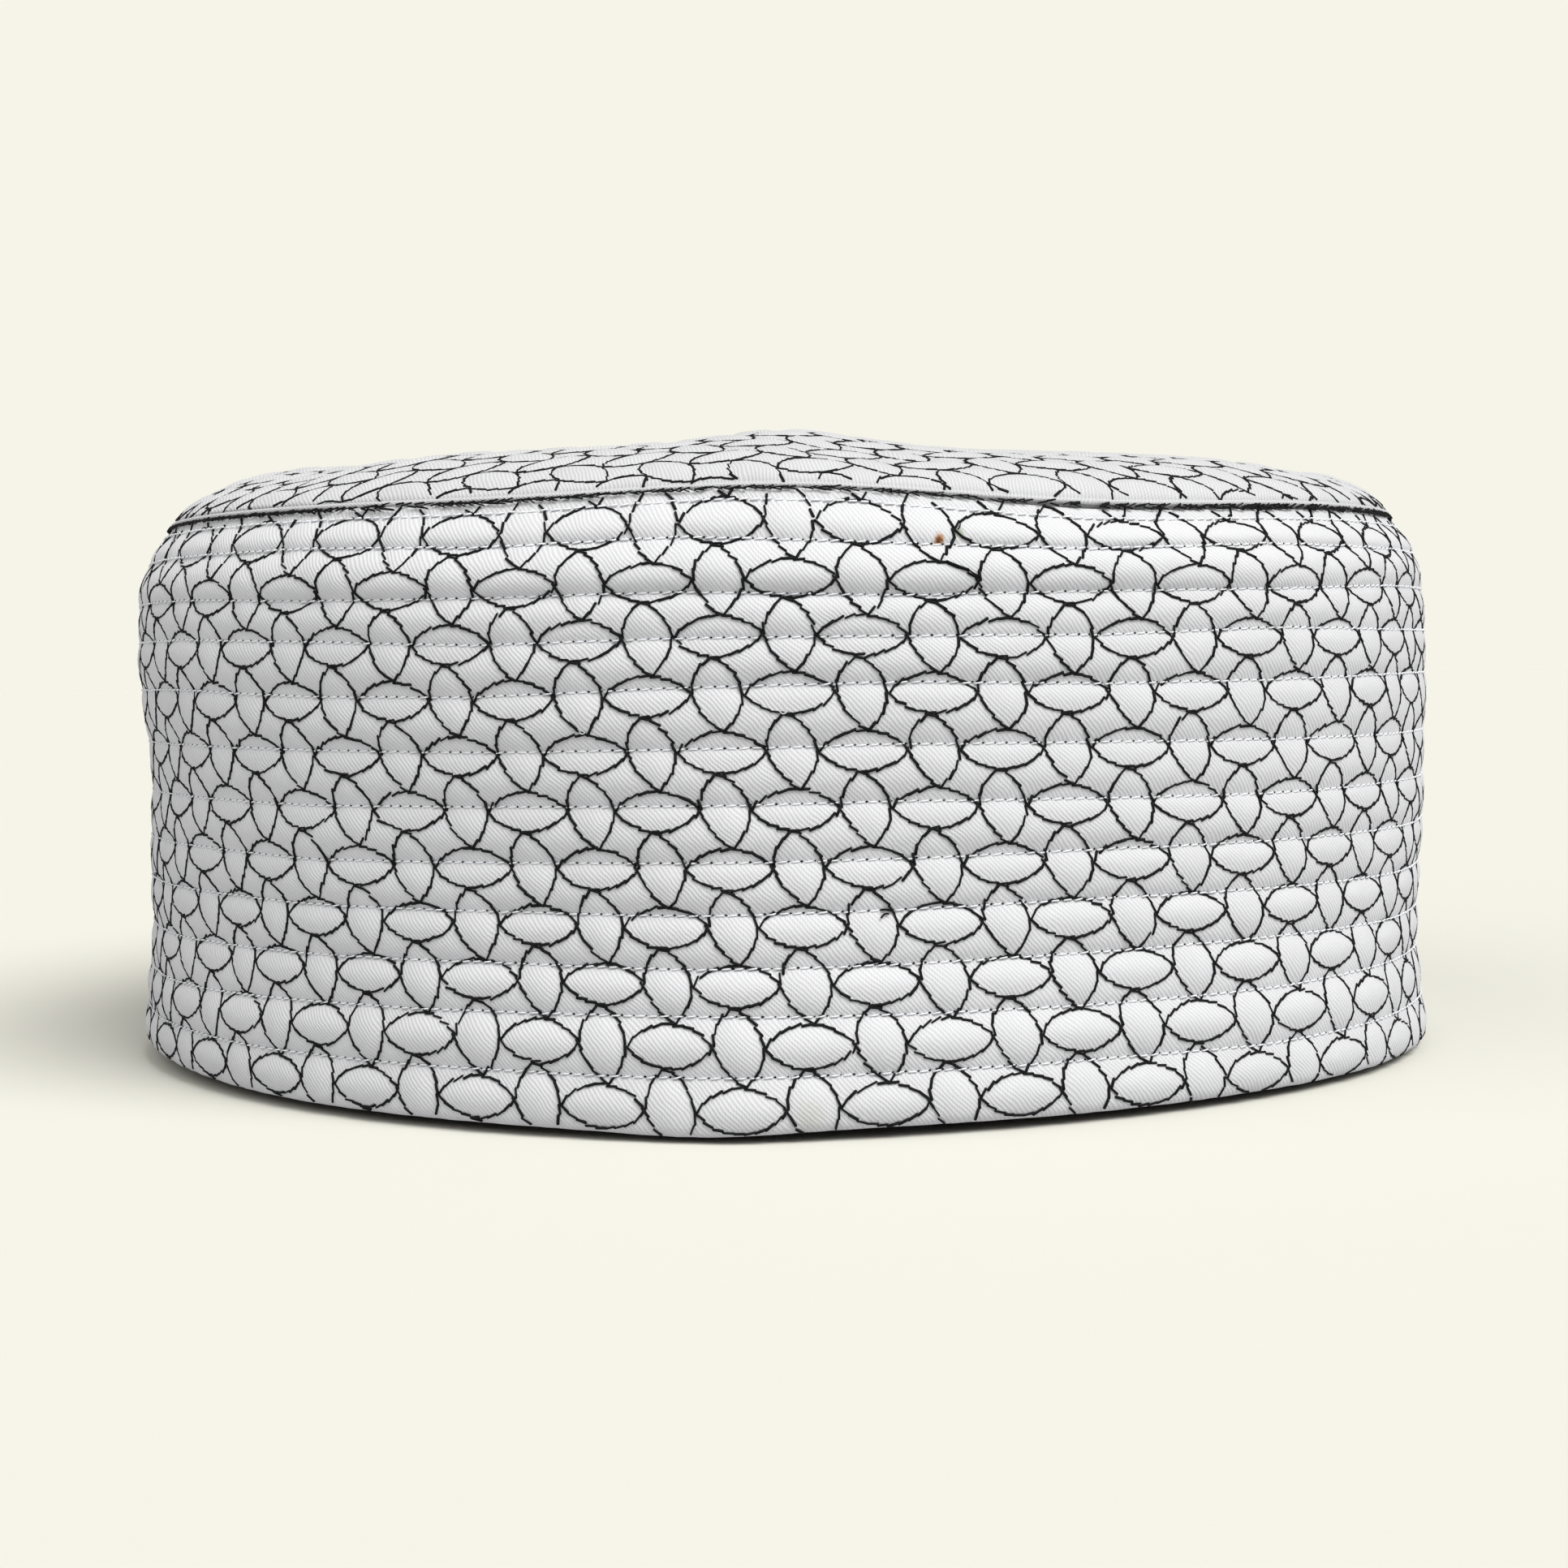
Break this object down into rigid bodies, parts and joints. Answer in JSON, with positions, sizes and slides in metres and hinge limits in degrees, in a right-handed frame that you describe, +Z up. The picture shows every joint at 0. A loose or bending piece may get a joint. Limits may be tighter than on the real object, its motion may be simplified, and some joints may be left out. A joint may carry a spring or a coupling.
{
  "type": "prayer cap",
  "caption": "Round brimless cap with an upright quilted side band and a low domed crown, standing on its hem.",
  "frame": {"origin": "middle of the cap's footprint, on the plane that its hem stands on", "axes": "+Z up through the crown; -Y towards the front, where the upright crease is; +X to the wearer's left"},
  "size_m": [0.1888, 0.1874, 0.0852],
  "materials": {
    "band_twill": "matte",
    "crown_twill": "matte",
    "black_thread": "satin",
    "white_thread": "satin"
  },
  "bodies": {
    "root": {"side_band": "band_twill", "crown": "crown_twill"}
  },
  "joints": []
}
